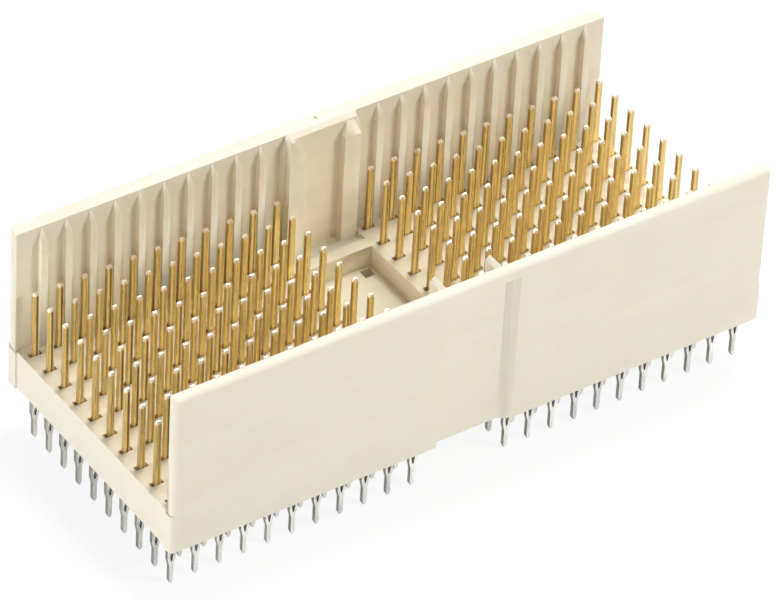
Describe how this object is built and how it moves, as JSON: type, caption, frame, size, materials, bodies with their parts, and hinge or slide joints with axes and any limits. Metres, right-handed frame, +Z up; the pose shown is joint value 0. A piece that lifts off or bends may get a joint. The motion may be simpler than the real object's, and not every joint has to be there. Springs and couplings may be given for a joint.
{
  "type": "multi-pin connector",
  "caption": "Board-mounted header with an open-ended plastic channel, slotted walls, a central coding block and rows of mating pins with press-fit tails below.",
  "frame": {"origin": "middle of the contact grid, on the housing's underside, which is the face that sits on the board", "axes": "+X along the contact rows, +Y across the channel towards the thicker wall, +Z up the mating pins"},
  "size_m": [0.0499, 0.0219, 0.018],
  "materials": {
    "housing_plastic": "fine matte moulding, glass-filled beige",
    "contact_metal": "gold-plated mating pins, tin-plated tails"
  },
  "bodies": {
    "root": {"housing": "housing_plastic", "contacts_row_a_left": "contact_metal", "contacts_row_a_right": "contact_metal", "contacts_row_b_left": "contact_metal", "contacts_row_b_right": "contact_metal", "contacts_row_c_left": "contact_metal", "contacts_row_c_right": "contact_metal", "contacts_row_d_left": "contact_metal", "contacts_row_d_right": "contact_metal", "contacts_row_e_left": "contact_metal", "contacts_row_e_right": "contact_metal", "contacts_row_f_left": "contact_metal", "contacts_row_f_right": "contact_metal", "contacts_row_g_left": "contact_metal", "contacts_row_g_right": "contact_metal", "contacts_row_h_left": "contact_metal", "contacts_row_h_right": "contact_metal", "contacts_row_i_left": "contact_metal", "contacts_row_i_right": "contact_metal", "contacts_row_j_left": "contact_metal", "contacts_row_j_right": "contact_metal"}
  },
  "joints": []
}
